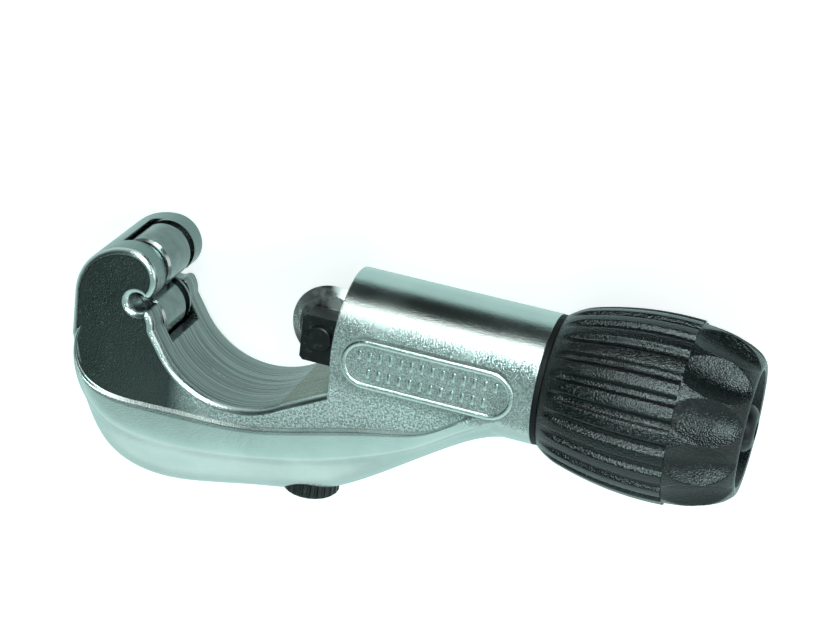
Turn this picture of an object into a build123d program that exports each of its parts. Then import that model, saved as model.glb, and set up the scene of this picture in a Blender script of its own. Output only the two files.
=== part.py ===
"""Tube cutter with a telescopic spindle: die-cast frame, two-roller jaw, cutter wheel slide,
turning knob and swing-out deburrer.

Frame of the model: the origin is the centre of a 28 mm tube held in the jaw, on the spindle axis.
+X runs along the spindle towards the knob, +Y from the spine towards the open side of the throat,
and +Z along the tube. All sizes are in millimetres.
"""
from build123d import *
from math import asin, atan2, cos, pi, radians, sin, sqrt
import os

# Tube and rollers: the rest pose holds a 28 mm tube
TUBE_R = 14.0
ROLLER_R = 6.2
ROLLER_Y = 6.6
ROLLER_X = -sqrt((TUBE_R + ROLLER_R) ** 2 - ROLLER_Y ** 2)
ROLLER_HALF = 7.25
ROLLER_EDGE = 0.5
GROOVE_R = 4.6
GROOVE_FRONT_Z = -3.6
GROOVE_BACK_Z = -6.0
AXLE_R = 2.0
AXLE_BACK_Z = -13.2
AXLE_FRONT_Z = 11.0
RUNNING = 0.05

# Shared small parts and cuts
OVERCUT = 1.0
PIN_CHAMFER = 0.3
CLIP_T = 0.6
CLIP_GROOVE_T = 0.7
CLIP_GROOVE_DEPTH = 0.5
CLIP_GAP = 2.4

# Frame casting
WEB_HALF = 13.4
LIP_HALF = 14.2
JAW_LEFT_X = -33.0
LOBE_X = -20.2
JAW_CORNER_R = LOBE_X - JAW_LEFT_X
LOBE_Y = 5.65
LOBE_R = 6.55
JAW_TOP_Y = LOBE_Y + LOBE_R
NOSE_FILLET = 1.2
LOBE_NOSE_ANGLE = -48
LOBE_HOLLOW_DEPTH = 4.2
THROAT_X = 5.5
THROAT_R = 19.2
CREASE = (17.2, -15.6)
SILL_Y = -9.8
RIM_FILLET = 1.3
WEB_OVERLAP = 0.08
RIM_MARGIN = 0.3
SHORTEST_RIM = 0.5
BARREL_SIDE_Y = 3.6
SLOT_HALF = 7.5
SLOT_R = ROLLER_R + 0.6
SLOT_MOUTH_X = -24.6
SLOT_LIP_Y = -10.0
SLOT_TOP_Y = 20.0

# Barrel, with the bore that guides the slide
BARREL_R = 14.5
BARREL_FRONT_X = 28.2
BARREL_BACK_X = 73.2
BORE_R = 10.05
BORE_CHAMFER = 1.0
NECK_R = 12.0
NECK_BACK_X = 93.0
BUSH_FRONT_X = 85.0
WEB_BACK_X = BARREL_BACK_X - 0.5
PAD_X = 50.0
PAD_LENGTH = 38.5
PAD_HEIGHT = 11.0
PAD_Z = 15.1
PAD_RECESS = 0.4
PAD_RIM = 1.0

# Slide, which carries the cutter wheel
SLIDE_R = BORE_R - RUNNING
SLIDE_FRONT_X = 19.0
SLIDE_BODY_X = 32.0
SLIDE_BACK_X = 75.0
FORK_HALF = 8.0
FORK_TOP_Y = 5.0
FORK_BOTTOM_Y = -5.9
WHEEL_SLOT_HALF = 2.7
WHEEL_GAP = 0.5
WHEEL_X = 23.4
WHEEL_R = WHEEL_X - TUBE_R
WHEEL_HUB_R = 4.6
WHEEL_HUB_HALF = 2.45
WHEEL_WEB_HALF = 1.4
WHEEL_BEVEL_R = WHEEL_R - 2.0
WHEEL_BEVEL_HALF = 1.0
WHEEL_EDGE_HALF = 0.03
WHEEL_AXLE_R = 2.5
AXLE_HEAD_R = 2.9
AXLE_HEAD_T = 0.9
AXLE_TAIL = 1.3
AXLE_CLIP_R = 3.7
FORK_CHAMFER = 0.8
TRAVEL_OUT = 7.1
TRAVEL_IN = 23.8

# Spindle and its bearing
THREAD_R = 4.5
THREAD_CHAMFER = 0.8
SPINDLE_TIP_X = 41.2
SHANK_R = 6.0
COLLAR_R = 8.5
COLLAR_FRONT_X = 82.6
WASHER_T = 1.0
WASHER_EDGE_GAP = 0.4
HEX_SIDE_R = 5.6
HEX_BACK_X = 108.0
SCREW_R = 2.5
SCREW_DEPTH = 9.0
SCREW_LENGTH = 8.5
SCREW_CLEARANCE = 0.2
SCREW_HEAD_R = 5.2
SCREW_HEAD_T = 4.4
SCREW_HEAD_FILLET = 2.6
SCREW_SOCKET_R = 2.3
SCREW_SOCKET_DEPTH = 2.0
KNOB_WASHER_R = 6.3
KNOB_WASHER_T = 0.8

# Knob
KNOB_FRONT_X = 74.6
KNOB_BACK_X = 117.6
KNOB_PROFILE = [(KNOB_FRONT_X, 15.2), (79.0, 17.2), (84.6, 18.6), (90.1, 19.6), (95.6, 20.1),
                (101.1, 20.2), (106.6, 19.7), (112.1, 18.2)]
KNOB_TAIL_MID = (115.6, 16.6)
KNOB_RIM_R = 14.4
KNOB_CAVITY_R = 12.4
KNOB_HUB_X = 94.05
RECESS_FRONT_X = 108.0
RECESS_R = 12.6
RECESS_FLOOR_R = 11.6
BOSS_R = 7.4
BOSS_TOP_R = 7.0
BOSS_BACK_X = 113.5
SCALLOPS = 12
SCALLOP_PHASE = 22.4
SCALLOP_X = 111.6
SCALLOP_HALF_LENGTH = 14.0
SCALLOP_CUT_R = 10.3
SCALLOP_DEPTH = 1.3
SCALLOP_TILT = 20.0
SCALLOP_SURFACE_R = 18.6
SEAL_R = 14.4
SEAL_T = 1.2

# Deburrer under the spine: it folds into a pocket that opens on the back of the frame
BELOW_Y = -60.0
DEBURRER_X = 22.5
DEBURRER_HEAD_R = 6.5
DEBURRER_HEAD_BOTTOM_Y = -40.6
DEBURRER_HEAD_TOP_Y = -35.6
COUNTERBORE_TOP_Y = -34.8
SERRATIONS = 24
SERRATION_R = 0.45
POCKET_TOP_Y = -26.6
POCKET_BOTTOM_Y = -30.8
POCKET_LEFT_X = -11.0
POCKET_RIGHT_X = 31.0
POCKET_FRONT_Z = 7.5
BLADE_T = 2.2
BLADE_GAP = 0.5
BLADE_TIP_X = -8.5
BLADE_TIP_HALF = 0.8
BLADE_HEEL_R = 6.0
PIVOT_R = 2.5
PIVOT_TOP_Y = -24.0
PIVOT_BOTTOM_Y = DEBURRER_HEAD_BOTTOM_Y + 1.5
PIVOT_HEADROOM = 0.4
DEBURRER_CLIP_R = 4.2
DEBURRER_CLIP_Y = POCKET_BOTTOM_Y + BLADE_GAP + BLADE_T
DEBURRER_WASHER_R = 5.2
HEAD_CHAMFER = 0.5
HEAD_GAP = 0.5

# Guide screw that keeps the slide from turning
GUIDE_X = 37.5
GUIDE_R = 2.5
GUIDE_TIP_R = 1.9
GUIDE_TIP_DEPTH = 1.6
GUIDE_SINK = 0.6
GUIDE_SHOULDER_Z = -SLIDE_R - 0.3
GUIDE_SOCKET_R = 1.45
GUIDE_SOCKET_DEPTH = 2.0
KEYWAY_SLACK = 0.25
KEYWAY_DEPTH = GUIDE_TIP_DEPTH + 0.4


def cylinder_x(radius, x_from, x_to):
    """A cylinder on the spindle axis."""
    return Plane.YZ.offset(x_from) * extrude_disc(radius, x_to - x_from)


def cylinder_z(x, y, radius, z_from, z_to):
    """A cylinder parallel to the tube."""
    return Pos(x, y, z_from) * extrude_disc(radius, z_to - z_from)


def cylinder_y(x, radius, y_from, y_to):
    """A cylinder across the spine, at z = 0."""
    return Pos(x, y_from, 0) * Rot(-90, 0, 0) * extrude_disc(radius, y_to - y_from)


def extrude_disc(radius, length):
    """A cylinder that stands on the XY plane."""
    return extrude(Circle(radius), length)


def block(x_from, x_to, y_from, y_to, z_from, z_to):
    """A box given by its corners."""
    centre = Pos((x_from + x_to) / 2, (y_from + y_to) / 2, (z_from + z_to) / 2)
    return centre * Box(x_to - x_from, y_to - y_from, z_to - z_from)


def turned(points):
    """A solid of revolution about the spindle axis, from (x, radius) points."""
    outline = Polyline(*[(x, r, 0) for x, r in points], close=True)
    return revolve(make_face(outline), Axis.X)


# The crisp edge where the flat side of the frame turns under, and the spine's lowest line below it
SIDE_EDGE = [(-31.0, -9.0), (-31.3, -16.6), (-28.8, -21.3), (-22.6, -24.4), (-12.0, -24.9),
             (0.5, -24.6), (13.3, -23.4), (30.2, -19.1), (41.0, -16.4), (50.0, -13.9),
             (57.4, -9.3), (64.9, -4.2), (72.7, 0.4)]
KEEL_EDGE = [(-33.0, -11.0), (-33.2, -21.5), (-31.6, -30.2), (-27.0, -40.4), (-17.0, -46.0),
             (-4.0, -45.5), (11.0, -42.3), (27.0, -38.6), (36.5, -33.2), (46.0, -26.2),
             (55.5, -19.4), (63.5, -15.2), (72.7, -14.4)]
BELLY_STATIONS = 9
BELLY_POWER = 2.5
BELLY_INSET = 0.2
LIP_BAND = 0.045
LIP_FOOT = 0.085


def belly_line(share):
    """The line that lies the given share of the way from the side edge to the keel."""
    return [(sx + (kx - sx) * share, sy + (ky - sy) * share)
            for (sx, sy), (kx, ky) in zip(SIDE_EDGE, KEEL_EDGE)]


def belly_edge(share, z):
    """A smooth line along the spine; every such line is spaced alike, so the surface stays even."""
    middle = belly_line(0.5)
    lengths = [0.0]
    for (ax, ay), (bx, by) in zip(middle, middle[1:]):
        lengths.append(lengths[-1] + sqrt((bx - ax) ** 2 + (by - ay) ** 2))
    spacing = [length / lengths[-1] for length in lengths]
    points = [Vector(x, y, z) for x, y in belly_line(share)]
    return Edge.make_spline(points, parameters=spacing)


def belly_section(lower, z, upper_y=None):
    """A face between a line along the spine and one above it, or a straight edge at upper_y."""
    edge = belly_edge(lower, z)
    start, end = edge @ 0, edge @ 1
    if upper_y is None:
        top = belly_edge(-BELLY_INSET, z)
        top_start, top_end = top @ 0, top @ 1
    else:
        top_start, top_end = Vector(start.X, upper_y, z), Vector(end.X, upper_y, z)
        top = Edge.make_line(top_start, top_end)
    sides = [Edge.make_line(start, top_start), Edge.make_line(end, top_end)]
    return make_face([edge, top, *sides])


def belly():
    """The spine's rounded underside, from a narrow lip along each flat side down to the keel."""
    sections = []
    for i in range(BELLY_STATIONS):
        z = LIP_HALF * (2 * i / (BELLY_STATIONS - 1) - 1)
        sections.append(belly_section(1 - abs(z / LIP_HALF) ** BELLY_POWER, z))
    solid = loft(sections)
    for side in (1, -1):
        floor = belly_section(-LIP_FOOT, side * WEB_HALF, THROAT_X)
        rim = belly_section(-LIP_BAND, side * LIP_HALF, THROAT_X)
        solid -= loft([floor, rim], ruled=True)
    return solid


def lobe_point(angle, side):
    """A point on the rounded end of a cheek around the upper (1) or lower (-1) roller."""
    turn = radians(angle)
    return (LOBE_X + LOBE_R * cos(turn), side * (LOBE_Y + LOBE_R * sin(turn)))


def tangent_point(start):
    """Where a line from the given point touches the throat's circle, on the spine's side."""
    dx = THROAT_X - start[0]
    dy = -start[1]
    distance = sqrt(dx ** 2 + dy ** 2)
    direction = atan2(dy, dx) - asin(THROAT_R / distance)
    return (THROAT_X + THROAT_R * sin(direction), -THROAT_R * cos(direction))


def web_outline():
    """The flat side of the frame: jaw, throat and spine down to the side edge."""
    corner_y = JAW_TOP_Y - JAW_CORNER_R
    corner_mid = (LOBE_X - JAW_CORNER_R * cos(pi / 4), corner_y + JAW_CORNER_R * sin(pi / 4))
    upper_nose = lobe_point(LOBE_NOSE_ANGLE, 1)
    lower_nose = lobe_point(LOBE_NOSE_ANGLE, -1)
    lower_end = lobe_point(0, -1)
    hollow_mid = (upper_nose[0] - LOBE_HOLLOW_DEPTH, 0)
    throat_start = tangent_point(lower_end)
    floor_low = (THROAT_X, -THROAT_R)
    floor_x = (throat_start[0] + THROAT_X) / 2
    floor_mid = (floor_x, -sqrt(THROAT_R ** 2 - (floor_x - THROAT_X) ** 2))
    sill = (BARREL_FRONT_X, SILL_Y)
    bottom = belly_line(WEB_OVERLAP)[1:]
    lines = [
        ThreePointArc((JAW_LEFT_X, corner_y), corner_mid, lobe_point(90, 1)),
        ThreePointArc(lobe_point(90, 1), lobe_point((90 + LOBE_NOSE_ANGLE) / 2, 1), upper_nose),
        ThreePointArc(upper_nose, hollow_mid, lower_nose),
        ThreePointArc(lower_nose, lobe_point(LOBE_NOSE_ANGLE / 2, -1), lower_end),
        Line(lower_end, throat_start),
        ThreePointArc(throat_start, floor_mid, floor_low),
        TangentArc(floor_low, CREASE, tangent=(1, 0)),
        Polyline(CREASE, sill, (BARREL_FRONT_X, BARREL_SIDE_Y), (WEB_BACK_X, BARREL_SIDE_Y)),
        Polyline((WEB_BACK_X, BARREL_SIDE_Y), *reversed(bottom), KEEL_EDGE[0],
                 (JAW_LEFT_X, corner_y)),
    ]
    face = make_face(lines)
    noses = [v for v in face.vertices() if abs(v.Y) <= LOBE_Y and v.X > LOBE_X and v.X < 0]
    return fillet(noses, NOSE_FILLET)


def web():
    """The flat-sided part of the casting, with the rims of the jaw and the throat rounded."""
    solid = extrude(web_outline(), WEB_HALF, both=True)
    rims = solid.faces().filter_by(Axis.Z).edges()
    jaw_and_throat = [e for e in rims if e.length > SHORTEST_RIM
                      and JAW_LEFT_X - RIM_MARGIN < e.center().X < BARREL_FRONT_X - RIM_MARGIN
                      and e.center().Y > -THROAT_R - RIM_MARGIN]
    return fillet(jaw_and_throat, RIM_FILLET)


def barrel():
    """The barrel and its neck, still without their bore."""
    body = cylinder_x(BARREL_R, BARREL_FRONT_X, BARREL_BACK_X)
    neck = cylinder_x(NECK_R, BARREL_BACK_X, NECK_BACK_X)
    return body + neck


def badge_pad():
    """A blank raised oval on the near side, with a shallow field inside its rim."""
    def stadium(grow, z_from, z_to):
        shape = SlotOverall(PAD_LENGTH + 2 * grow, PAD_HEIGHT + 2 * grow)
        return Pos(PAD_X, 0, z_from) * extrude(shape, z_to - z_from)
    return stadium(0, BORE_R + OVERCUT, PAD_Z) - stadium(-PAD_RIM, PAD_Z - PAD_RECESS, PAD_Z + OVERCUT)


def roller_slot():
    """The gap between the jaw's cheeks, rounded behind the rollers and open at the top."""
    gap = block(SLOT_MOUTH_X, 0, 0, SLOT_TOP_Y, -SLOT_HALF, SLOT_HALF)
    gap += block(ROLLER_X - SLOT_R, 0, -ROLLER_Y, ROLLER_Y, -SLOT_HALF, SLOT_HALF)
    gap += block(ROLLER_X, 0, SLOT_LIP_Y, 0, -SLOT_HALF, SLOT_HALF)
    for side in (1, -1):
        gap += cylinder_z(ROLLER_X, side * ROLLER_Y, SLOT_R, -SLOT_HALF, SLOT_HALF)
    return gap


def frame():
    """The die-cast frame: jaw, spine, barrel and neck in one piece."""
    casting = web() + belly() + barrel() + badge_pad()
    casting -= roller_slot()
    for side in (1, -1):
        casting -= cylinder_z(ROLLER_X, side * ROLLER_Y, AXLE_R, -LIP_HALF - OVERCUT, AXLE_FRONT_Z)
    casting -= cylinder_x(BORE_R, BARREL_FRONT_X - OVERCUT, NECK_BACK_X + OVERCUT)
    casting -= turned([(BARREL_FRONT_X - OVERCUT, 0),
                       (BARREL_FRONT_X - OVERCUT, BORE_R + BORE_CHAMFER + OVERCUT),
                       (BARREL_FRONT_X + BORE_CHAMFER, BORE_R), (BARREL_FRONT_X + BORE_CHAMFER, 0)])
    casting -= block(POCKET_LEFT_X, POCKET_RIGHT_X, POCKET_BOTTOM_Y, POCKET_TOP_Y,
                     -LIP_HALF - OVERCUT, POCKET_FRONT_Z)
    casting -= cylinder_y(DEBURRER_X, DEBURRER_HEAD_R + HEAD_GAP, BELOW_Y, COUNTERBORE_TOP_Y)
    casting -= cylinder_y(DEBURRER_X, PIVOT_R + RUNNING, BELOW_Y, PIVOT_TOP_Y + PIVOT_HEADROOM)
    casting -= cylinder_z(GUIDE_X, 0, GUIDE_R, -BARREL_R - OVERCUT, -SLIDE_R + OVERCUT)
    return casting


def roller(side):
    """A jaw roller with a groove near its far end, so that a flared tube can be cut short."""
    body = cylinder_z(ROLLER_X, side * ROLLER_Y, ROLLER_R, -ROLLER_HALF, ROLLER_HALF)
    body = chamfer(body.edges().filter_by(GeomType.CIRCLE), ROLLER_EDGE)
    groove = cylinder_z(ROLLER_X, side * ROLLER_Y, ROLLER_R + OVERCUT, GROOVE_BACK_Z, GROOVE_FRONT_Z)
    groove -= cylinder_z(ROLLER_X, side * ROLLER_Y, GROOVE_R, GROOVE_BACK_Z, GROOVE_FRONT_Z)
    bore = cylinder_z(ROLLER_X, side * ROLLER_Y, AXLE_R + RUNNING, -ROLLER_HALF, ROLLER_HALF)
    return body - groove - bore


def roller_axle(side):
    """A plain pin pressed in from the back of the jaw."""
    pin = cylinder_z(ROLLER_X, side * ROLLER_Y, AXLE_R, AXLE_BACK_Z, AXLE_FRONT_Z)
    return chamfer(pin.edges().filter_by(GeomType.CIRCLE), PIN_CHAMFER)


def slide():
    """The carriage: a fork for the wheel, and a round body with the spindle's thread in it."""
    body = cylinder_x(SLIDE_R, SLIDE_BODY_X, SLIDE_BACK_X)
    fork = cylinder_x(SLIDE_R, SLIDE_FRONT_X, SLIDE_BODY_X)
    fork = fork & block(SLIDE_FRONT_X, SLIDE_BODY_X, FORK_BOTTOM_Y, FORK_TOP_Y, -FORK_HALF, FORK_HALF)
    fork = chamfer(fork.edges().filter_by(Axis.Z).group_by(Axis.X)[0], FORK_CHAMFER)
    carriage = body + fork
    carriage -= block(SLIDE_FRONT_X - OVERCUT, WHEEL_X + WHEEL_R + WHEEL_GAP, -BARREL_R, BARREL_R,
                      -WHEEL_SLOT_HALF, WHEEL_SLOT_HALF)
    carriage -= cylinder_z(WHEEL_X, 0, WHEEL_AXLE_R, -BARREL_R, BARREL_R)
    carriage -= cylinder_x(THREAD_R + RUNNING, SLIDE_BODY_X, SLIDE_BACK_X + OVERCUT)
    key_from = GUIDE_X - TRAVEL_OUT - GUIDE_TIP_R - KEYWAY_SLACK
    key_to = GUIDE_X + TRAVEL_IN + GUIDE_TIP_R + KEYWAY_SLACK
    half = GUIDE_TIP_R + RUNNING
    carriage -= block(key_from, key_to, -half, half, -BARREL_R, -SLIDE_R + KEYWAY_DEPTH)
    return carriage


def guide_screw():
    """A dog-point set screw through the back of the barrel, in the slide's keyway."""
    body = cylinder_z(GUIDE_X, 0, GUIDE_R, -BARREL_R + GUIDE_SINK, GUIDE_SHOULDER_Z)
    tip = cylinder_z(GUIDE_X, 0, GUIDE_TIP_R, GUIDE_SHOULDER_Z, -SLIDE_R + GUIDE_TIP_DEPTH)
    socket = extrude(RegularPolygon(GUIDE_SOCKET_R, 6), GUIDE_SOCKET_DEPTH)
    socket = Pos(GUIDE_X, 0, -BARREL_R + GUIDE_SINK) * socket
    return body + tip - socket


def cutter_wheel():
    """The cutting wheel: a hub boss on each side and an edge ground to a V."""
    half = [(0, WHEEL_HUB_HALF), (WHEEL_HUB_R, WHEEL_HUB_HALF), (WHEEL_HUB_R, WHEEL_WEB_HALF),
            (WHEEL_BEVEL_R, WHEEL_BEVEL_HALF), (WHEEL_R, WHEEL_EDGE_HALF)]
    points = [(r, 0, z) for r, z in half] + [(r, 0, -z) for r, z in reversed(half)]
    disc = Pos(WHEEL_X, 0, 0) * revolve(make_face(Polyline(*points, close=True)), Axis.Z)
    return disc - cylinder_z(WHEEL_X, 0, WHEEL_AXLE_R + RUNNING, -BARREL_R, BARREL_R)


def wheel_axle():
    """The wheel's pin, with a flat head in front and a groove at the back end for its clip."""
    back = -FORK_HALF - AXLE_TAIL
    pin = cylinder_z(WHEEL_X, 0, WHEEL_AXLE_R, back, FORK_HALF)
    head = cylinder_z(WHEEL_X, 0, AXLE_HEAD_R, FORK_HALF, FORK_HALF + AXLE_HEAD_T)
    head = chamfer(head.edges().filter_by(GeomType.CIRCLE).group_by(Axis.Z)[-1], PIN_CHAMFER)
    groove_z = -FORK_HALF - RUNNING
    groove = cylinder_z(WHEEL_X, 0, WHEEL_AXLE_R + OVERCUT, groove_z - CLIP_GROOVE_T, groove_z)
    groove -= cylinder_z(WHEEL_X, 0, WHEEL_AXLE_R - CLIP_GROOVE_DEPTH, back, 0)
    return pin + head - groove


def axle_clip():
    """The snap ring in the wheel axle's groove."""
    front = -FORK_HALF - 2 * RUNNING
    ring = cylinder_z(WHEEL_X, 0, AXLE_CLIP_R, front - CLIP_T, front)
    ring -= cylinder_z(WHEEL_X, 0, WHEEL_AXLE_R - CLIP_GROOVE_DEPTH, -BARREL_R, 0)
    return ring - block(WHEEL_X - AXLE_CLIP_R - OVERCUT, WHEEL_X, -CLIP_GAP / 2, CLIP_GAP / 2, -BARREL_R, 0)


def spindle():
    """The feed spindle: thread stand-in, thrust collar, plain shank and hexagon for the knob."""
    shank_back_x = NECK_BACK_X + WASHER_T
    shaft = cylinder_x(THREAD_R, SPINDLE_TIP_X, COLLAR_FRONT_X)
    shaft = chamfer(shaft.edges().filter_by(GeomType.CIRCLE).group_by(Axis.X)[0], THREAD_CHAMFER)
    shaft += cylinder_x(COLLAR_R, COLLAR_FRONT_X, BUSH_FRONT_X - WASHER_T)
    shaft += cylinder_x(SHANK_R, BUSH_FRONT_X - WASHER_T, shank_back_x)
    hexagon = extrude(RegularPolygon(HEX_SIDE_R, 6), HEX_BACK_X - shank_back_x)
    shaft += Plane.YZ.offset(shank_back_x) * hexagon
    return shaft - cylinder_x(SCREW_R, HEX_BACK_X - SCREW_DEPTH, HEX_BACK_X + OVERCUT)


def ring_x(outer, inner, x_from, x_to):
    """A plain ring on the spindle axis."""
    return cylinder_x(outer, x_from, x_to) - cylinder_x(inner, x_from - OVERCUT, x_to + OVERCUT)


def scallop_cutter():
    """A spindle-shaped body that hollows one leaf-shaped scallop out of the knob's shoulder."""
    bow = ThreePointArc((-SCALLOP_HALF_LENGTH, 0), (0, SCALLOP_CUT_R), (SCALLOP_HALF_LENGTH, 0))
    chord = Line((SCALLOP_HALF_LENGTH, 0), (-SCALLOP_HALF_LENGTH, 0))
    cutter = revolve(make_face([bow, chord]), Axis.X)
    reach = SCALLOP_SURFACE_R - SCALLOP_DEPTH + SCALLOP_CUT_R
    return Pos(SCALLOP_X, 0, reach) * Rot(0, SCALLOP_TILT, 0) * cutter


def knob():
    """The hollow plastic knob, with finger scallops around its back end."""
    shoulder = Spline(*[(x, r, 0) for x, r in KNOB_PROFILE])
    last_x, last_r = KNOB_PROFILE[-1]
    tail = ThreePointArc((last_x, last_r, 0), (*KNOB_TAIL_MID, 0), (KNOB_BACK_X, KNOB_RIM_R, 0))
    inside = Polyline((KNOB_BACK_X, KNOB_RIM_R, 0), (KNOB_BACK_X, RECESS_R, 0),
                      (RECESS_FRONT_X, RECESS_FLOOR_R, 0), (RECESS_FRONT_X, BOSS_R, 0),
                      (BOSS_BACK_X, BOSS_TOP_R, 0), (BOSS_BACK_X, 0, 0), (KNOB_FRONT_X, 0, 0),
                      (KNOB_FRONT_X, KNOB_PROFILE[0][1], 0))
    body = revolve(make_face([shoulder, tail, inside]), Axis.X)
    body -= cylinder_x(KNOB_CAVITY_R, KNOB_FRONT_X - OVERCUT, KNOB_HUB_X)
    hexagon = extrude(RegularPolygon(HEX_SIDE_R, 6), HEX_BACK_X - KNOB_HUB_X)
    body -= Plane.YZ.offset(KNOB_HUB_X) * hexagon
    body -= cylinder_x(SCREW_R + SCREW_CLEARANCE, HEX_BACK_X - OVERCUT, KNOB_BACK_X)
    for i in range(SCALLOPS):
        body -= Rot(-SCALLOP_PHASE - 360 * i / SCALLOPS, 0, 0) * scallop_cutter()
    return body


def knob_screw():
    """The domed screw that clamps the knob on the spindle."""
    seat_x = BOSS_BACK_X + KNOB_WASHER_T
    shank = cylinder_x(SCREW_R, HEX_BACK_X - SCREW_LENGTH, seat_x)
    head = cylinder_x(SCREW_HEAD_R, seat_x, seat_x + SCREW_HEAD_T)
    head = fillet(head.edges().filter_by(GeomType.CIRCLE).group_by(Axis.X)[-1], SCREW_HEAD_FILLET)
    socket = extrude(RegularPolygon(SCREW_SOCKET_R, 6), SCREW_HEAD_T)
    socket = Plane.YZ.offset(seat_x + SCREW_HEAD_T - SCREW_SOCKET_DEPTH) * socket
    return shank + head - socket


def deburrer_blade():
    """A flat three-cornered blade with a round heel, clamped on the pivot."""
    bottom = POCKET_BOTTOM_Y + BLADE_GAP
    heel = Pos(DEBURRER_X, bottom, 0) * Rot(-90, 0, 0) * extrude_disc(BLADE_HEEL_R, BLADE_T)
    corners = [(DEBURRER_X, bottom, -BLADE_HEEL_R), (DEBURRER_X, bottom, BLADE_HEEL_R),
               (BLADE_TIP_X, bottom, BLADE_TIP_HALF), (BLADE_TIP_X, bottom, -BLADE_TIP_HALF)]
    blade = extrude(make_face(Polyline(*corners, close=True)), BLADE_T, dir=(0, 1, 0))
    return heel + blade - cylinder_y(DEBURRER_X, PIVOT_R, BELOW_Y, 0)


def deburrer_pivot():
    """The pin that joins the deburrer's head to its blade."""
    pin = cylinder_y(DEBURRER_X, PIVOT_R, PIVOT_BOTTOM_Y, PIVOT_TOP_Y)
    groove_top_y = DEBURRER_CLIP_Y + CLIP_GROOVE_T
    groove = cylinder_y(DEBURRER_X, PIVOT_R + OVERCUT, DEBURRER_CLIP_Y, groove_top_y)
    groove -= cylinder_y(DEBURRER_X, PIVOT_R - CLIP_GROOVE_DEPTH, DEBURRER_CLIP_Y, groove_top_y)
    return pin - groove


def deburrer_clip():
    """The snap ring above the blade."""
    bottom = DEBURRER_CLIP_Y + RUNNING
    ring = cylinder_y(DEBURRER_X, DEBURRER_CLIP_R, bottom, bottom + CLIP_T)
    ring -= cylinder_y(DEBURRER_X, PIVOT_R - CLIP_GROOVE_DEPTH, BELOW_Y, 0)
    return ring - block(DEBURRER_X, DEBURRER_X + DEBURRER_CLIP_R + OVERCUT, BELOW_Y, 0,
                        -CLIP_GAP / 2, CLIP_GAP / 2)


def deburrer_head():
    """The knurled thumb head under the spine."""
    head = cylinder_y(DEBURRER_X, DEBURRER_HEAD_R, DEBURRER_HEAD_BOTTOM_Y, DEBURRER_HEAD_TOP_Y)
    head = chamfer(head.edges().filter_by(GeomType.CIRCLE), HEAD_CHAMFER)
    head -= cylinder_y(DEBURRER_X, PIVOT_R, PIVOT_BOTTOM_Y, 0)
    for i in range(SERRATIONS):
        angle = 2 * pi * i / SERRATIONS
        groove = cylinder_y(0, SERRATION_R, DEBURRER_HEAD_BOTTOM_Y - OVERCUT,
                            DEBURRER_HEAD_TOP_Y + OVERCUT)
        head -= Pos(DEBURRER_X + DEBURRER_HEAD_R * cos(angle), 0, DEBURRER_HEAD_R * sin(angle)) * groove
    return head


def deburrer_washer():
    """The spring washer that holds the deburrer where it is put."""
    ring = cylinder_y(DEBURRER_X, DEBURRER_WASHER_R, DEBURRER_HEAD_TOP_Y + 2 * RUNNING,
                      COUNTERBORE_TOP_Y)
    return ring - cylinder_y(DEBURRER_X, PIVOT_R + SCREW_CLEARANCE, BELOW_Y, 0)


def build_parts():
    """Every physical piece, by the name of its file."""
    parts = {
        "frame": frame(),
        "roller_upper": roller(1),
        "roller_lower": roller(-1),
        "roller_axle_upper": roller_axle(1),
        "roller_axle_lower": roller_axle(-1),
        "slide": slide(),
        "guide_screw": guide_screw(),
        "cutter_wheel": cutter_wheel(),
        "wheel_axle": wheel_axle(),
        "wheel_axle_clip": axle_clip(),
        "spindle": spindle(),
        "thrust_washer_front": ring_x(BORE_R - WASHER_EDGE_GAP, SHANK_R + RUNNING,
                                      BUSH_FRONT_X - WASHER_T + RUNNING, BUSH_FRONT_X),
        "bearing_bush": ring_x(BORE_R, SHANK_R + RUNNING, BUSH_FRONT_X, NECK_BACK_X),
        "thrust_washer_back": ring_x(NECK_R - WASHER_EDGE_GAP, SHANK_R + RUNNING, NECK_BACK_X,
                                     NECK_BACK_X + WASHER_T),
        "seal_ring": ring_x(SEAL_R, NECK_R, BARREL_BACK_X, BARREL_BACK_X + SEAL_T),
        "knob": knob(),
        "knob_washer": ring_x(KNOB_WASHER_R, SCREW_R + SCREW_CLEARANCE / 2, BOSS_BACK_X,
                              BOSS_BACK_X + KNOB_WASHER_T),
        "knob_screw": knob_screw(),
        "deburrer_blade": deburrer_blade(),
        "deburrer_pivot": deburrer_pivot(),
        "deburrer_clip": deburrer_clip(),
        "deburrer_head": deburrer_head(),
        "deburrer_washer": deburrer_washer(),
    }
    return parts


os.makedirs("parts", exist_ok=True)
for name, shape in build_parts().items():
    export_step(shape, f"parts/{name}.step")
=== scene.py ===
"""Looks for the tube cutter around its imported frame: a ribbed knob, the badge's rim and ticks, procedural
materials, lights, floor and camera."""
import bmesh
import bpy
import numpy as np
from math import cos, radians, sin
from mathutils import Matrix, Vector

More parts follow.
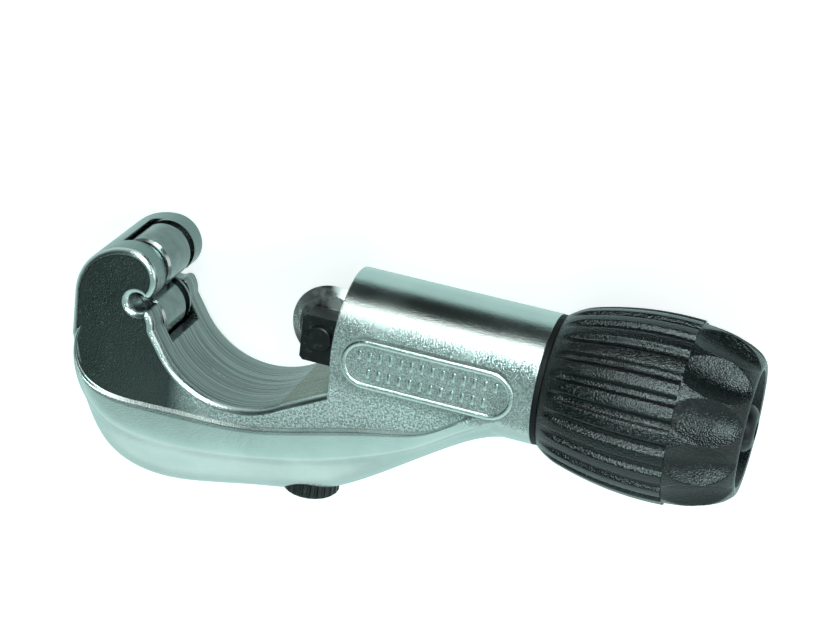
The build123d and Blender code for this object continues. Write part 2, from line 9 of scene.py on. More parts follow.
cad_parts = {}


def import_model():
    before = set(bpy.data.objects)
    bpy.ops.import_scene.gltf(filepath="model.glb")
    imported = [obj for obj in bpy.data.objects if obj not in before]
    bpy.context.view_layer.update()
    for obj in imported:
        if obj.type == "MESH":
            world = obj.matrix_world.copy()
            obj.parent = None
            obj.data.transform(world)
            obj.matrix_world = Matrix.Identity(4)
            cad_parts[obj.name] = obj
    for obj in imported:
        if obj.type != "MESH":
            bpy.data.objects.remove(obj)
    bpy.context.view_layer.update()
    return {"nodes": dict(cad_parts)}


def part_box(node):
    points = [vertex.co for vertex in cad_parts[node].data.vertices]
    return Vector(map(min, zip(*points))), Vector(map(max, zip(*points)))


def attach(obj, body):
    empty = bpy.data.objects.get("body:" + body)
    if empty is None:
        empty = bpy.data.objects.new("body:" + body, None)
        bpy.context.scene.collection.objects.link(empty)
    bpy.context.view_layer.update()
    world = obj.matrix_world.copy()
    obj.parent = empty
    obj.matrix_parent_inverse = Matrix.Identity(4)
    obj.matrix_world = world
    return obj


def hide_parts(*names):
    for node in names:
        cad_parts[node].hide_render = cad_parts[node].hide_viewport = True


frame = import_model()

MM = 0.001

# Camera: the aim point lies on the tool, and the angles turn from straight above its flat side
CAMERA_AIM = Vector((42.8, 7.5, 0.0)) * MM
CAMERA_DISTANCE = 497.8 * MM
CAMERA_TURN = radians(15.18)
CAMERA_RISE = radians(23.84)
CAMERA_ROLL = radians(7.48)
CAMERA_LENS = 98.37
CAMERA_SENSOR = 36
CAMERA_NEAR = 10 * MM

# Badge: the middle of its oval, and its ticks in rows of (count, y)
BADGE_X = 50.0
TICK_ROWS = [(14, 2.0), (12, -2.0)]
TICK_PITCH = 2.35
TICK_WIDTH = 1.05
TICK_HEIGHT = 2.4
TICK_FOOT_Z = 14.6
TICK_TOP_Z = 15.05
TICK_CREST = 0.06
TICK_FLANK_SHRINK = 0.12
TICK_TOP_SHRINK = 0.22
TICK_SHARP = 40

# The bead along the badge's rim, half sunk in the casting
BEAD_STRAIGHT_HALF = 13.75
BEAD_R = 5.0
BEAD_HALF_WIDTH = 0.68
BEAD_FOOT_Z = 13.0
BEAD_Z = 14.92
BEAD_HALF_HEIGHT = 0.42
BEAD_END_STEPS = 32
BEAD_ROUND_STEPS = 12
BEAD_SHARP = 50

# Studio: name, place, aim, size, radiance and colour of each soft light, and the world's tones
TOOL = (0.04, 0.0, 0.0)
LIGHTS = [
    ("open_side", (-0.07, 0.73, 0.39), TOOL, (0.36, 0.42), 2.4, (1.0, 0.98, 0.94)),
    ("spine_side", (0.04, -0.74, 0.37), TOOL, (1.90, 0.86), 0.46, (0.74, 1.0, 0.96)),
    ("knob_end", (0.95, 0.15, 0.45), TOOL, (0.6, 0.6), 2.0, (1.0, 1.0, 1.0)),
    ("knob_key", (0.13, 0.34, 0.51), (0.10, 0.0, 0.0), (0.24, 0.66), 12.0, (0.76, 1.0, 0.98)),
]
HORIZON_BAND = (0.05, 0.30)
HORIZON_COLOR = (0.78, 0.92, 0.90)
ZENITH_COLOR = (0.42, 0.60, 0.575)
OVERHEAD_COLOR = (0.20, 0.285, 0.28)
OVERHEAD_EDGE = (-0.30, 0.0)
GROUND_COLOR = (0.66, 0.92, 0.89)
GROUND_BAND = (-0.25, -0.05)
SHADE_COLOR = (0.012, 0.018, 0.016)
SHADE_EDGE = (-0.36, -0.28)
SHADE_RISE = (0.40, 0.65)

# Floor: it touches the knob a little behind the knob's middle, and the jaw's lip, which stands above the
# barrel's underside
FLOOR_SIZE = 8
FLOOR_GAP = 0.1 * MM
FLOOR_KNOB_SHIFT = 4 * MM
LIP_ABOVE_BARREL = 0.3 * MM
FLOOR_COLOR = (0.86, 0.87, 0.87)
FLOOR_GLOW_COLOR = (0.97, 1.0, 0.993)
FLOOR_GLOW = 0.72

# Flag: a black card on the open side, from the throat's middle to well past the knob, in metres
FLAG_Y = 0.068
FLAG_LEFT_X = -0.002
FLAG_RIGHT_X = 0.5
FLAG_LOW_Z = -0.031
FLAG_HIGH_Z = 0.025

# Knob: its outline as (x, radius), its ribs in front of the step and its scallops behind
KNOB_FRONT_X = 74.6
KNOB_BACK_X = 117.6
KNOB_OUTLINE = [(KNOB_FRONT_X, 14.6), (75.1, 15.1), (76.8, 16.2), (79.5, 17.4), (84.6, 18.7), (90.1, 19.65),
                (95.6, 20.15), (101.1, 20.2), (106.6, 19.75), (112.1, 18.3), (115.4, 16.6),
                (117.1, 15.0), (KNOB_BACK_X, 14.2)]
KNOB_SAMPLES = 150
KNOB_SHARP = 40
KNOB_CAVITY_R = 12.4
KNOB_CAVITY_CHAMFER = 0.4
KNOB_HUB_X = 94.05
KNOB_HUB_R = 5.7
RECESS_X = 108.0
RECESS_R = 12.6
BOSS_R = 7.4
BOSS_X = 113.5
SCREW_HOLE_R = 2.7
KNOB_INSIDE = [(KNOB_BACK_X, 13.6), (117.45, 12.8), (116.8, RECESS_R), (108.6, 11.6), (RECESS_X, 11.0),
               (RECESS_X, 8.0), (108.6, BOSS_R), (113.0, 7.1), (BOSS_X, 6.6), (BOSS_X, SCREW_HOLE_R),
               (RECESS_X, SCREW_HOLE_R), (RECESS_X, KNOB_HUB_R), (KNOB_HUB_X, KNOB_HUB_R),
               (KNOB_HUB_X, KNOB_CAVITY_R), (KNOB_FRONT_X + KNOB_CAVITY_CHAMFER, KNOB_CAVITY_R),
               (KNOB_FRONT_X, KNOB_CAVITY_R + KNOB_CAVITY_CHAMFER)]
RIBS = 24
RIB_END_X = 103.3
RIB_STEP_HALF = 0.04
RIB_DEPTH = 0.85
RIB_CROWN = 0.12
RIB_FLANK = (0.42, 0.82)
RIB_FADE_X = (74.8, 81.0)
SHOULDER_DROP = 0.45
SHOULDER_END_X = 110.0
SCALLOPS = 12
SCALLOP_PHASE = radians(22.4)
SCALLOP_X = 111.3
SCALLOP_FRONT = 9.2
SCALLOP_BACK = 6.2
SCALLOP_DEPTH = 2.5
TURN_STEPS = 480

# The casting's zones, each a soft step between two places in millimetres or two values of facing along Z
BARREL_X = (27.9, 28.1)
BARREL_Y = (-9.0, -7.0)
BARREL_FACING = (0.87, 0.92)
FLAT_FACING = (0.998, 0.9995)
UPRIGHT_FACING = (0.10, 0.30)
UNDER_LIP_Z = (13.6, 13.9)
JAW_END_X = (-9.0, 3.0)
THROAT_LEFT_X = (-23.5, -22.5)
THROAT_RIGHT_X = (28.0, 28.2)
THROAT_LOW_Y = (-20.5, -19.8)
THROAT_HIGH_Y = (5.5, 7.5)
# Where the upright faces of the jaw's nose get a painted dark reflection
NOSE_Y = (-8.0, 3.0)
NOSE_END_X = (20.0, 28.0)
# Where the throat's small facet at its right end gets a painted reflection
FACET_X = (16.9, 17.5)
SEAM_Z = 1.6
SEAM_EDGE = (0.08, 0.22)

# The casting's colours, some with painted reflections: painted dark reflections on the jaw face, the jaw's
# nose and the barrel's grainy flank, and a painted yellow-green reflection on the throat's facet
NICKEL_DARK = (0.50, 0.565, 0.55)
NICKEL_LIGHT = (0.57, 0.63, 0.615)
GRAIN_TONE = (0.70, 0.78, 0.76)
# The barrel's grainy flank: its grain, darkened further as a painted dark reflection of the dim overhead
BARREL_GRAIN_AND_PAINTED_DARK_REFLECTION = (0.47, 0.53, 0.52)
MOTTLE_TONE = (0.27, 0.32, 0.31)
# Painted dark reflection: the polished jaw face is coloured dark in place of the dark surroundings it mirrors
JAW_FACE_PAINTED_DARK_REFLECTION = (0.14, 0.165, 0.155)
# Painted dark reflection on the upright faces of the jaw's nose
NOSE_PAINTED_DARK_REFLECTION = (0.22, 0.26, 0.25)
GROUND_DARK = (0.12, 0.135, 0.13)
GROUND_LIGHT = (0.30, 0.32, 0.315)
# Painted yellow-green reflection on the throat's small facet
THROAT_FACET_PAINTED_REFLECTION = (0.13, 0.135, 0.095)
SEAM_TONE = (0.10, 0.10, 0.10)

# Noise seldom leaves this span, so a range over it uses all of the contrast
NOISE_SPAN = (0.3, 0.7)


def curve_through(points, samples):
    """Points along a smooth curve through the given (x, radius) points."""
    pts = np.array(points, float)
    pts = np.vstack([2 * pts[0] - pts[1], pts, 2 * pts[-1] - pts[-2]])
    spans = len(points) - 1
    t = np.linspace(0, spans, samples)
    i = np.minimum(t.astype(int), spans - 1)
    u = (t - i)[:, None]
    a, b, c, d = pts[i], pts[i + 1], pts[i + 2], pts[i + 3]
    return 0.5 * (2 * b + (c - a) * u + (2 * a - 5 * b + 4 * c - d) * u ** 2
                  + (3 * b - a - 3 * c + d) * u ** 3)


def smooth(low, high, value):
    """0 below low, 1 above high, and a soft step between them."""
    share = np.clip((value - low) / (high - low), 0, 1)
    return share * share * (3 - 2 * share)


def knob_hollow(x, turn):
    """How far the knob's skin lies below its outline, at a place along it and an angle round it."""
    rib = (turn - SCALLOP_PHASE) * RIBS / (2 * np.pi)
    off_rib = 2 * np.abs(rib - np.round(rib))
    groove = RIB_DEPTH * smooth(*RIB_FLANK, off_rib) + RIB_CROWN * off_rib ** 2
    groove *= smooth(*RIB_FADE_X, x)
    leaf = (turn - SCALLOP_PHASE) * SCALLOPS / (2 * np.pi)
    off_leaf = 2 * np.abs(leaf - np.round(leaf))
    length = np.where(x < SCALLOP_X, SCALLOP_FRONT, SCALLOP_BACK)
    bowl = np.clip(1 - off_leaf ** 2 - ((x - SCALLOP_X) / length) ** 2, 0, 1)
    shoulder = SHOULDER_DROP * (1 - smooth(RIB_END_X, SHOULDER_END_X, x)) + SCALLOP_DEPTH * bowl
    return np.where(x < RIB_END_X, groove, shoulder)


def lathe(name, rings, hollow):
    """A closed mesh turned about the spindle axis from (x, radius) rings, the last joined to the first."""
    rings = np.array(rings, float)
    turn = np.linspace(0, 2 * np.pi, TURN_STEPS, endpoint=False)
    x = np.repeat(rings[:, :1], TURN_STEPS, axis=1)
    radius = np.repeat(rings[:, 1:2], TURN_STEPS, axis=1)
    radius = radius - hollow(x, np.broadcast_to(turn, x.shape))
    points = np.stack([x, radius * np.sin(turn), radius * np.cos(turn)], axis=-1).reshape(-1, 3) * MM
    rows = len(rings)
    faces = []
    for i in range(rows):
        here = i * TURN_STEPS
        there = ((i + 1) % rows) * TURN_STEPS
        for j in range(TURN_STEPS):
            k = (j + 1) % TURN_STEPS
            faces.append((here + j, here + k, there + k, there + j))
    mesh = bpy.data.meshes.new(name)
    mesh.from_pydata(points.tolist(), [], faces)
    mesh.update()
    piece = add_object(name, mesh)
    fix_normals(piece)
    return piece


def add_object(name, data):
    """A new object in the scene."""
    piece = bpy.data.objects.new(name, data)
    bpy.context.scene.collection.objects.link(piece)
    return piece


def fix_normals(piece):
    """Faces point outwards, and soft bends shade smoothly."""
    work = bmesh.new()
    work.from_mesh(piece.data)
    bmesh.ops.recalc_face_normals(work, faces=work.faces)
    work.to_mesh(piece.data)
    work.free()
    piece.data.shade_smooth()


def sharpen(piece, degrees):
    """Edges sharper than the angle stay sharp."""
    piece.data.set_sharp_from_angle(angle=radians(degrees))


def finish_mesh(name, work, sharp_degrees):
    """An object from a mesh under construction."""
    mesh = bpy.data.meshes.new(name)
    work.to_mesh(mesh)
    work.free()
    piece = add_object(name, mesh)
    fix_normals(piece)
    sharpen(piece, sharp_degrees)
    return piece


def build_knob():
    """The knob's skin with its ribs and scallops, and its hollow inside."""
    skin = curve_through(KNOB_OUTLINE, KNOB_SAMPLES)
    step_r = np.interp(RIB_END_X, skin[:, 0], skin[:, 1])
    step = [(RIB_END_X - RIB_STEP_HALF, step_r), (RIB_END_X + RIB_STEP_HALF, step_r)]
    skin = sorted([tuple(point) for point in skin] + step)
    first_inside = len(skin)

    def hollow(x, turn):
        depth = knob_hollow(x, turn)
        depth[first_inside:] = 0
        return depth

    knob = lathe("knob_grip", skin + KNOB_INSIDE, hollow)
    sharpen(knob, KNOB_SHARP)
    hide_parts("knob")
    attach(knob, "knob")
    return knob


def build_ticks():
    """Two rows of plain raised ticks in the badge's field, all alike."""
    work = bmesh.new()
    for count, y in TICK_ROWS:
        for i in range(count):
            x = BADGE_X + (i - (count - 1) / 2) * TICK_PITCH
            add_tick(work, x, y)
    ticks = finish_mesh("badge_ticks", work, TICK_SHARP)
    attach(ticks, "frame")
    return ticks


def add_tick(work, x, y):
    """One tick: a small bar with sloping flanks."""
    rings = []
    for shrink, z in ((0, TICK_FOOT_Z), (TICK_FLANK_SHRINK, TICK_TOP_Z - TICK_CREST),
                      (TICK_TOP_SHRINK, TICK_TOP_Z)):
        half_x = TICK_WIDTH / 2 - shrink
        half_y = TICK_HEIGHT / 2 - shrink
        corners = [(-1, -1), (1, -1), (1, 1), (-1, 1)]
        rings.append([work.verts.new(((x + a * half_x) * MM, (y + b * half_y) * MM, z * MM))
                      for a, b in corners])
    for low, high in zip(rings, rings[1:]):
        add_band(work, low, high)
    work.faces.new(rings[-1])
    work.faces.new(list(reversed(rings[0])))


def add_band(work, ring, following):
    """Faces between two closed rings of corners."""
    for i in range(len(ring)):
        j = (i + 1) % len(ring)
        work.faces.new((ring[i], ring[j], following[j], following[i]))


def oval_outline():
    """The oval's outline as (which end, outward x, outward y), round both ends."""
    outline = []
    for end, first_turn in ((1, -90), (-1, 90)):
        for step in range(BEAD_END_STEPS + 1):
            turn = radians(first_turn + step * 180 / BEAD_END_STEPS)
            outline.append((end, cos(turn), sin(turn)))
    return outline


def bead_profile():
    """The bead's section as (outward, z): a half round on a straight foot."""
    profile = [(-BEAD_HALF_WIDTH, BEAD_FOOT_Z)]
    for step in range(BEAD_ROUND_STEPS + 1):
        turn = radians(180 - step * 180 / BEAD_ROUND_STEPS)
        profile.append((BEAD_HALF_WIDTH * cos(turn), BEAD_Z + BEAD_HALF_HEIGHT * sin(turn)))
    profile.append((BEAD_HALF_WIDTH, BEAD_FOOT_Z))
    return profile


def build_badge_rim():
    """A rounded bead that follows the badge's oval outline."""
    work = bmesh.new()
    rings = []
    for end, out_x, out_y in oval_outline():
        ring = []
        for out, z in bead_profile():
            x = BADGE_X + end * BEAD_STRAIGHT_HALF + (BEAD_R + out) * out_x
            ring.append(work.verts.new((x * MM, (BEAD_R + out) * out_y * MM, z * MM)))
        rings.append(ring)
    for ring, following in zip(rings, rings[1:] + rings[:1]):
        add_band(work, ring, following)
    rim = finish_mesh("badge_rim", work, BEAD_SHARP)
    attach(rim, "frame")
    return rim


# ---------------------------------------------------------------- materials

def new_material(name, color, metallic, roughness):
    """A node material with its shader's plain values set, and its object-space coordinates in millimetres."""
    material = bpy.data.materials.new(name)
    material.use_nodes = True
    tree = material.node_tree
    shader = tree.nodes["Principled BSDF"]
    shader.inputs["Base Color"].default_value = (*color, 1)
    shader.inputs["Metallic"].default_value = metallic
    shader.inputs["Roughness"].default_value = roughness
    place = tree.nodes.new("ShaderNodeTexCoord").outputs["Object"]
    scale = tree.nodes.new("ShaderNodeVectorMath")
    scale.operation = "SCALE"
    scale.inputs["Scale"].default_value = 1 / MM
    tree.links.new(place, scale.inputs[0])
    return material, tree, shader, scale.outputs["Vector"]


def noise(tree, place, scale, detail=2.0, rough=0.5):
    """Noise with the given number of cells per millimetre."""
    node = tree.nodes.new("ShaderNodeTexNoise")
    node.inputs["Scale"].default_value = scale
    node.inputs["Detail"].default_value = detail
    node.inputs["Roughness"].default_value = rough
    tree.links.new(place, node.inputs["Vector"])
    return node.outputs["Fac"]


def stretch(tree, place, scales):
    """Coordinates scaled by axis, for grain that runs one way."""
    node = tree.nodes.new("ShaderNodeVectorMath")
    node.operation = "MULTIPLY"
    node.inputs[1].default_value = scales
    tree.links.new(place, node.inputs[0])
    return node.outputs["Vector"]


def remap(tree, value, low, high, to_low, to_high):
    """A value carried from one range to another, and clamped."""
    node = tree.nodes.new("ShaderNodeMapRange")
    for socket, number in zip(("From Min", "From Max", "To Min", "To Max"), (low, high, to_low, to_high)):
        node.inputs[socket].default_value = number
    tree.links.new(value, node.inputs["Value"])
    return node.outputs["Result"]


def calc(tree, operation, first, second=0):
    """One arithmetic step; either input may be a number."""
    node = tree.nodes.new("ShaderNodeMath")
    node.operation = operation
    for socket, value in zip(node.inputs, (first, second)):
        if isinstance(value, (int, float)):
            socket.default_value = value
        else:
            tree.links.new(value, socket)
    return node.outputs["Value"]


def times(tree, *values):
    """The product of two or more values."""
    product = values[0]
    for value in values[1:]:
        product = calc(tree, "MULTIPLY", product, value)
    return product


def axis_of(tree, vector, axis):
    """One coordinate of a vector."""
    parts = tree.nodes.new("ShaderNodeSeparateXYZ")
    tree.links.new(vector, parts.inputs["Vector"])
    return parts.outputs[axis]


def mix_color(tree, share, first, second):
    """A blend of two colours."""
    node = tree.nodes.new("ShaderNodeMix")
    node.data_type = "RGBA"
    tree.links.new(share, node.inputs["Factor"])
    for socket, color in ((node.inputs["A"], first), (node.inputs["B"], second)):
        if isinstance(color, tuple):
            socket.default_value = (*color, 1)
        else:
            tree.links.new(color, socket)
    return node.outputs["Result"]


def bump(tree, shader, height, distance_mm, edge_radius_mm=0):
    """Surface relief of the given height, over edges worn round by the given radius."""
    node = tree.nodes.new("ShaderNodeBump")
    node.inputs["Distance"].default_value = distance_mm * MM
    tree.links.new(height, node.inputs["Height"])
    if edge_radius_mm:
        edges = tree.nodes.new("ShaderNodeBevel")
        edges.samples = 6
        edges.inputs["Radius"].default_value = edge_radius_mm * MM
        tree.links.new(edges.outputs["Normal"], node.inputs["Normal"])
    tree.links.new(node.outputs["Normal"], shader.inputs["Normal"])


def after(tree, place, axis, edge):
    """0 before the edge and 1 after it, along an axis; the edge is two places on that axis."""
    return remap(tree, axis_of(tree, place, axis), *edge, 0, 1)


def before(tree, place, axis, edge):
    """1 before the edge and 0 after it."""
    return remap(tree, axis_of(tree, place, axis), *edge, 1, 0)


def cast_zones(tree, place):
    """Masks of the casting's barrel, grainy sides, polished jaw face, ground throat and jaw nose."""
    normal = tree.nodes.new("ShaderNodeTexCoord").outputs["Normal"]
    facing = calc(tree, "ABSOLUTE", axis_of(tree, normal, "Z"))
    height = calc(tree, "ABSOLUTE", axis_of(tree, place, "Z"))
    barrel = times(tree, after(tree, place, "X", BARREL_X), after(tree, place, "Y", BARREL_Y))
    scatter = remap(tree, noise(tree, place, 4.0, 2.0, 0.7), 0.35, 0.65, -0.09, 0.09)
    scattered = calc(tree, "ADD", facing, scatter)
    web_side = times(tree, remap(tree, height, *UNDER_LIP_Z, 1, 0), remap(tree, facing, *FLAT_FACING, 0, 1))
    barrel_side = times(tree, barrel, remap(tree, scattered, *BARREL_FACING, 0, 1))
    flat = calc(tree, "MAXIMUM", web_side, barrel_side)
    grainy = times(tree, flat, after(tree, place, "X", JAW_END_X))
    upright = remap(tree, facing, *UPRIGHT_FACING, 1, 0)
    across = times(tree, after(tree, place, "X", THROAT_LEFT_X), before(tree, place, "X", THROAT_RIGHT_X))
    along = times(tree, after(tree, place, "Y", THROAT_LOW_Y), before(tree, place, "Y", THROAT_HIGH_Y))
    return {
        "barrel": barrel,
        "grainy": grainy,
        "polished": calc(tree, "SUBTRACT", flat, grainy),
        "throat": times(tree, upright, across, along),
        "nose": times(tree, upright, after(tree, place, "Y", NOSE_Y), before(tree, place, "X", NOSE_END_X)),
    }


def cast_relief(tree, place, zones, lines, seam):
    """Grain on the casting's sides, a few specks on the jaw face, and ground lines in the throat."""
    grain = calc(tree, "ADD", noise(tree, place, 2.0, 3.0, 0.7),
                 remap(tree, noise(tree, place, 3.0, 2.0), 0.36, 0.6, 0, 1))
    specks = remap(tree, noise(tree, place, 2.3, 2.0, 0.6), 0.65, 0.72, 0, 1)
    relief = calc(tree, "ADD", times(tree, grain, remap(tree, zones["grainy"], 0, 1, 0.05, 1.0)),
                  times(tree, specks, zones["polished"], 0.7))
    return calc(tree, "ADD", relief,
                times(tree, calc(tree, "SUBTRACT", lines, seam), zones["throat"], 0.5))


def cast_roughness(tree, cloud, zones):
    """Rougher where it is grainy, smoother where it is polished, and cloudy all over."""
    rough = calc(tree, "ADD", remap(tree, zones["grainy"], 0, 1, 0.22, 0.31),
                 remap(tree, cloud, *NOISE_SPAN, -0.04, 0.06))
    return calc(tree, "SUBTRACT", rough, times(tree, zones["polished"], 0.06))


def cast_tone(tree, place, cloud, zones, lines, seam):
    """The casting's colour, zone by zone, with painted dark reflections on the jaw face, the jaw's nose and
    the barrel's grainy flank, and a painted reflection on the throat's facet.
    """
    grainy = zones["grainy"]
    mottle = remap(tree, noise(tree, place, 2.1, 2.0, 0.7), 0.42, 0.60, 0, 1)
    ground = mix_color(tree, remap(tree, lines, 0.38, 0.62, 0, 1), GROUND_DARK, GROUND_LIGHT)
    # Painted reflection on the throat's facet
    ground = mix_color(tree, after(tree, place, "X", FACET_X), ground, THROAT_FACET_PAINTED_REFLECTION)
    tone = mix_color(tree, remap(tree, cloud, 0.35, 0.65, 0, 1), NICKEL_DARK, NICKEL_LIGHT)
    tone = mix_color(tree, grainy, tone, GRAIN_TONE)
    # Grain on the barrel's flank, partly a painted dark reflection
    tone = mix_color(tree, times(tree, grainy, zones["barrel"]), tone, BARREL_GRAIN_AND_PAINTED_DARK_REFLECTION)
    tone = mix_color(tree, times(tree, grainy, mottle), tone, MOTTLE_TONE)
    # Painted dark reflection on the polished jaw face
    tone = mix_color(tree, zones["polished"], tone, JAW_FACE_PAINTED_DARK_REFLECTION)
    # Painted dark reflection on the jaw's nose
    tone = mix_color(tree, zones["nose"], tone, NOSE_PAINTED_DARK_REFLECTION)
    tone = mix_color(tree, zones["throat"], tone, ground)
    return mix_color(tree, times(tree, seam, zones["throat"]), tone, SEAM_TONE)


def cast_nickel():
    """Satin nickel on a die casting: grainy on its sides, polished at the jaw, ground in the throat, with
    painted reflections in its colour.
    """
    material, tree, shader, place = new_material("cast_nickel", (0.54, 0.60, 0.585), 1.0, 0.3)
    zones = cast_zones(tree, place)
    lines = noise(tree, stretch(tree, place, (0.03, 0.03, 3.0)), 1.0, 3.0, 0.6)
    off_seam = calc(tree, "ABSOLUTE", calc(tree, "SUBTRACT", axis_of(tree, place, "Z"), SEAM_Z))
    seam = remap(tree, off_seam, *SEAM_EDGE, 1, 0)
    cloud = noise(tree, place, 0.09, 3.0)
    bump(tree, shader, cast_relief(tree, place, zones, lines, seam), 0.26, 0.4)
    tree.links.new(cast_roughness(tree, cloud, zones), shader.inputs["Roughness"])
    tree.links.new(cast_tone(tree, place, cloud, zones, lines, seam), shader.inputs["Base Color"])
    return material


def worn_nickel():
    """The same plating rubbed bright on raised edges."""
    material, tree, shader, place = new_material("worn_nickel", (0.60, 0.66, 0.645), 1.0, 0.22)
    grain = noise(tree, place, 2.6, 3.0, 0.7)
    bump(tree, shader, grain, 0.05)
    tree.links.new(remap(tree, grain, *NOISE_SPAN, 0.16, 0.30), shader.inputs["Roughness"])
    return material


def turned_steel(name, color, roughness, axis, fine=9.0):
    """Ground or turned steel with fine lines round the given axis."""
    material, tree, shader, place = new_material(name, color, 1.0, roughness)
    scales = [0.35, 0.35, 0.35]
    scales["XYZ".index(axis)] = fine
    lines = noise(tree, stretch(tree, place, scales), 1.0, 3.0, 0.6)
    smudge = noise(tree, place, 0.35, 2.0)
    rough = calc(tree, "ADD", remap(tree, lines, *NOISE_SPAN, roughness - 0.08, roughness + 0.1),
                 remap(tree, smudge, *NOISE_SPAN, -0.04, 0.06))
    tree.links.new(rough, shader.inputs["Roughness"])
    bump(tree, shader, lines, 0.006)
    dark = tuple(c * 0.72 for c in color)
    tree.links.new(mix_color(tree, remap(tree, smudge, 0.3, 0.75, 0, 1), color, dark),
                   shader.inputs["Base Color"])
    return material


def black_steel(name, color, roughness):
    """Blackened steel, slightly oily, worn a little lighter in patches."""
    material, tree, shader, place = new_material(name, color, 0.55, roughness)
    patches = noise(tree, place, 0.6, 4.0, 0.6)
    rough = remap(tree, patches, *NOISE_SPAN, roughness - 0.1, roughness + 0.14)
    tree.links.new(rough, shader.inputs["Roughness"])
    worn = tuple(min(1, c * 3.2 + 0.02) for c in color)
    tree.links.new(mix_color(tree, remap(tree, patches, 0.56, 0.74, 0, 1), color, worn),
                   shader.inputs["Base Color"])
    bump(tree, shader, noise(tree, place, 3.0, 3.0), 0.02, 0.3)
    return material


def moulded_plastic(name, color, roughness, grain_mm):
    """Black moulded plastic with a spark-eroded grain that glints."""
    material, tree, shader, place = new_material(name, color, 0.0, roughness)
    grain = noise(tree, place, 1 / grain_mm, 1.0, 0.5)
    cloud = noise(tree, place, 0.12, 2.0)
    bump(tree, shader, grain, 0.5 * grain_mm)
    rough = calc(tree, "ADD", remap(tree, grain, 0.35, 0.65, roughness + 0.05, roughness - 0.05),
                 remap(tree, cloud, *NOISE_SPAN, -0.04, 0.05))
    tree.links.new(rough, shader.inputs["Roughness"])
    grey = tuple(c * 1.8 for c in color)
    tree.links.new(mix_color(tree, remap(tree, grain, 0.5, 0.72, 0, 1), color, grey),
                   shader.inputs["Base Color"])
    return material


def rubber():
    """Matt black rubber."""
    material, tree, shader, place = new_material("seal_black", (0.003, 0.003, 0.003), 0.0, 0.62)
    shader.inputs["Specular IOR Level"].default_value = 0.2
    bump(tree, shader, noise(tree, place, 4.0, 2.0), 0.02)
    rough = remap(tree, noise(tree, place, 0.8, 2.0), *NOISE_SPAN, 0.5, 0.7)
    tree.links.new(rough, shader.inputs["Roughness"])
    return material


def paint_nodes():
    """Gives every CAD node that shows its material."""
    # The rollers' ground steel is coloured dark as a painted dark reflection of shaded surroundings
    roller_steel_painted_dark = turned_steel("ground_steel_painted_dark", (0.25, 0.275, 0.27), 0.20, "Z")
    pins = turned_steel("pin_end_steel", (0.50, 0.52, 0.515), 0.28, "Z")
    steel_x = turned_steel("turned_steel", (0.52, 0.53, 0.525), 0.30, "X")
    steel_y = turned_steel("pin_steel", (0.50, 0.51, 0.505), 0.30, "Y")
    wheel = turned_steel("wheel_steel", (0.50, 0.485, 0.47), 0.26, "Z", 0.5)
    bronze = turned_steel("bronze", (0.58, 0.36, 0.16), 0.34, "X")
    bright = turned_steel("bright_zinc", (0.60, 0.62, 0.61), 0.22, "X")
    black = black_steel("phosphated_steel", (0.018, 0.020, 0.020), 0.36)
    looks = {
        "frame": cast_nickel(), "roller_upper": roller_steel_painted_dark, "roller_lower": roller_steel_painted_dark,
        "roller_axle_upper": pins, "roller_axle_lower": pins, "slide": black,
        "guide_screw": black, "cutter_wheel": wheel, "wheel_axle": black,
        "wheel_axle_clip": black, "spindle": steel_x, "thrust_washer_front": bronze,
        "bearing_bush": bronze, "thrust_washer_back": bronze, "seal_ring": rubber(),
        "knob_washer": bright, "knob_screw": black, "deburrer_blade": steel_y,
        "deburrer_pivot": steel_y, "deburrer_clip": steel_y, "deburrer_washer": steel_y,
        "deburrer_head": moulded_plastic("head_plastic", (0.006, 0.009, 0.009), 0.38, 0.35),
    }
    for node, material in looks.items():
        mesh = frame["nodes"][node].data
        mesh.materials.clear()
        mesh.materials.append(material)


# ---------------------------------------------------------------- stage

def add_camera():
    """The camera, level with the tool's own up direction except for its roll."""
    side = cos(CAMERA_RISE)
    back = Vector((sin(CAMERA_TURN) * side, sin(CAMERA_RISE), cos(CAMERA_TURN) * side))
    right = Vector((0, 1, 0)).cross(back).normalized()
    up = back.cross(right)
    turn = Matrix((right, up, back)).transposed().to_4x4()
    camera = add_object("camera", bpy.data.cameras.new("camera"))
    camera.data.lens = CAMERA_LENS
    camera.data.sensor_width = CAMERA_SENSOR
    camera.data.clip_start = CAMERA_NEAR
    camera.matrix_world = (Matrix.Translation(CAMERA_AIM + back * CAMERA_DISTANCE) @ turn
                           @ Matrix.Rotation(CAMERA_ROLL, 4, "Z"))
    bpy.context.scene.camera = camera


def add_floor():
    """A pale floor that the knob and the jaw both rest on."""
    (jaw_low, _), (knob_low, knob_high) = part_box("frame"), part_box("knob")
    knob_x = (knob_low[0] + knob_high[0]) / 2 + FLOOR_KNOB_SHIFT
    slope = (jaw_low[2] - knob_low[2] + LIP_ABOVE_BARREL) / (knob_x - jaw_low[0])
    middle = Vector((knob_x, 0, knob_low[2] - FLOOR_GAP))
    bpy.ops.mesh.primitive_plane_add(size=FLOOR_SIZE, location=middle)
    floor = bpy.context.object
    floor.name = "floor"
    floor.rotation_euler = (0, np.arctan(slope), 0)
    material, tree, shader, place = new_material("floor_paper", FLOOR_COLOR, 0.0, 0.8)
    tone = remap(tree, noise(tree, place, 0.01, 2.0), *NOISE_SPAN, 0.78, 0.84)
    tree.links.new(tone, shader.inputs["Roughness"])
    shader.inputs["Emission Color"].default_value = (*FLOOR_GLOW_COLOR, 1)
    shader.inputs["Emission Strength"].default_value = FLOOR_GLOW
    floor.data.materials.append(material)
    floor.visible_glossy = False


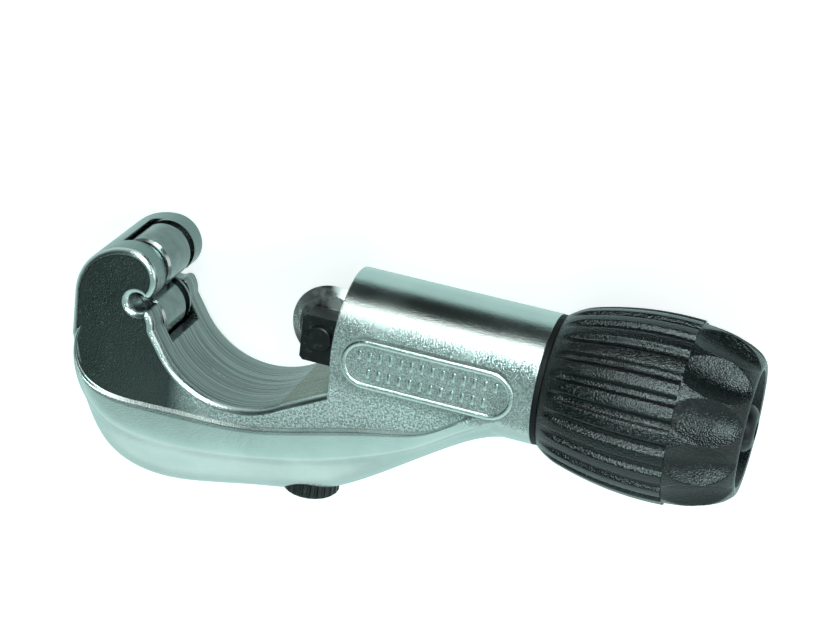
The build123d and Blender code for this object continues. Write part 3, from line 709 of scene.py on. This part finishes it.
def add_light(name, place, aim, size, radiance, color):
    """A soft rectangular light aimed at a point; the knob's key light shows only in reflections."""
    data = bpy.data.lights.new(name, "AREA")
    data.shape = "RECTANGLE"
    data.size, data.size_y = size
    data.energy = radiance * np.pi * size[0] * size[1]
    data.color = color
    light = add_object(name, data)
    back = (Vector(place) - Vector(aim)).normalized()
    right = Vector((1, 0, 0))
    right = (right - back * right.dot(back)).normalized()
    turn = Matrix((right, back.cross(right), back)).transposed().to_4x4()
    light.matrix_world = Matrix.Translation(place) @ turn
    light.visible_camera = False
    light.visible_diffuse = name != "knob_key"


def add_flag():
    """A black card beside the tool, unseen itself, that draws a dark line along the polished metal."""
    corners = [(FLAG_LEFT_X, FLAG_Y, FLAG_LOW_Z), (FLAG_RIGHT_X, FLAG_Y, FLAG_LOW_Z),
               (FLAG_RIGHT_X, FLAG_Y, FLAG_HIGH_Z), (FLAG_LEFT_X, FLAG_Y, FLAG_HIGH_Z)]
    mesh = bpy.data.meshes.new("flag")
    mesh.from_pydata(corners, [], [(0, 1, 2, 3)])
    flag = add_object("flag", mesh)
    material, tree, shader, place = new_material("flag_felt", (0.01, 0.01, 0.01), 0.0, 0.9)
    tree.links.new(remap(tree, noise(tree, place, 0.5), *NOISE_SPAN, 0.85, 0.95), shader.inputs["Roughness"])
    flag.data.materials.append(material)
    flag.visible_camera = False
    flag.visible_shadow = False
    flag.visible_diffuse = False


def add_world():
    """Surroundings: dim overhead, paler towards the horizon and below it, dark above the jaw's end."""
    world = bpy.data.worlds.new("studio")
    world.use_nodes = True
    tree = world.node_tree
    sky = tree.nodes.new("ShaderNodeTexCoord").outputs["Generated"]
    up = axis_of(tree, sky, "Z")
    rise = remap(tree, calc(tree, "ABSOLUTE", up), *HORIZON_BAND, 0, 1)
    above = mix_color(tree, after(tree, sky, "Y", OVERHEAD_EDGE), ZENITH_COLOR, OVERHEAD_COLOR)
    tone = mix_color(tree, rise, HORIZON_COLOR, above)
    tone = mix_color(tree, remap(tree, up, *GROUND_BAND, 1, 0), tone, GROUND_COLOR)
    shade = times(tree, before(tree, sky, "X", SHADE_EDGE), remap(tree, up, *SHADE_RISE, 0, 1))
    background = tree.nodes["Background"]
    tree.links.new(mix_color(tree, shade, tone, SHADE_COLOR), background.inputs["Color"])
    bpy.context.scene.world = world


add_camera()
add_floor()
add_world()
add_flag()
for light in LIGHTS:
    add_light(*light)
knob = build_knob()
knob.data.materials.append(moulded_plastic("knob_plastic", (0.0024, 0.0050, 0.0050), 0.21, 0.34))
paint_nodes()
bright_edges = worn_nickel()
for piece in (build_ticks(), build_badge_rim()):
    piece.data.materials.append(bright_edges)
bpy.context.scene.view_settings.view_transform = "Standard"
